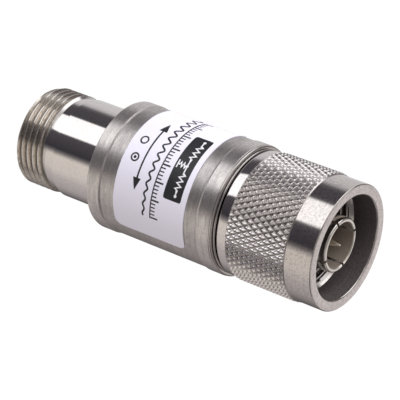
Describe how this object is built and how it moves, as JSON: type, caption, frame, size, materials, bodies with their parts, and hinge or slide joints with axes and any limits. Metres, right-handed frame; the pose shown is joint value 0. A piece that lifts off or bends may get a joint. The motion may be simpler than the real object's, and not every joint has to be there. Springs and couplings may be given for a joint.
{
  "type": "rf attenuator",
  "caption": "Fixed coaxial attenuator: a round steel body with a threaded jack at one end and a pin plug with a free-spinning knurled coupling nut at the other.",
  "frame": {"origin": "centre of the jack's end face, on which the part stands", "axes": "+Z along the axis from the jack to the plug; -Y is the side that the picture looks at and that the label faces"},
  "size_m": [0.0204, 0.0204, 0.0563],
  "materials": {
    "satin_steel": "satin, turned round the axis",
    "polished_steel": "polished",
    "nut_steel": "polished bands and a knurled grip",
    "label_film": "white printed film",
    "gold_plate": "gold plated",
    "bead_plastic": "moulded",
    "plain_brass": "machined",
    "spring_bronze": "plain spring strip",
    "plated_bronze": "bright white plating",
    "card_ceramic": "fired, with a dark film",
    "gasket_rubber": "soft silicone"
  },
  "bodies": {
    "body": {"body_tube": "satin_steel", "label": "label_film", "jack_shell": "polished_steel", "jack_contact": "gold_plate", "jack_bead": "bead_plastic", "jack_bead_ring": "plain_brass", "jack_bullet": "gold_plate", "attenuator_card": "card_ceramic", "card_holder_front": "plain_brass", "card_holder_rear": "plain_brass", "stack_spring": "spring_bronze", "plug_bullet": "gold_plate", "plug_bead": "bead_plastic", "plug_bead_ring": "plain_brass", "plug_pin": "gold_plate", "plug_shell": "polished_steel", "plug_ferrule": "plated_bronze", "gasket": "gasket_rubber"},
    "ring": {"nut_ring": "spring_bronze"},
    "nut": {"coupling_nut": "nut_steel"}
  },
  "joints": [
    {"name": "nut_float", "type": "slide", "parent": "body", "child": "ring", "axis": [0, 0, 1], "range_m": [0, 0.00035]},
    {"name": "nut_spin", "type": "hinge", "parent": "ring", "child": "nut", "pos_m": [0, 0, 0.0481], "axis": [0, 0, 1], "continuous": true}
  ]
}
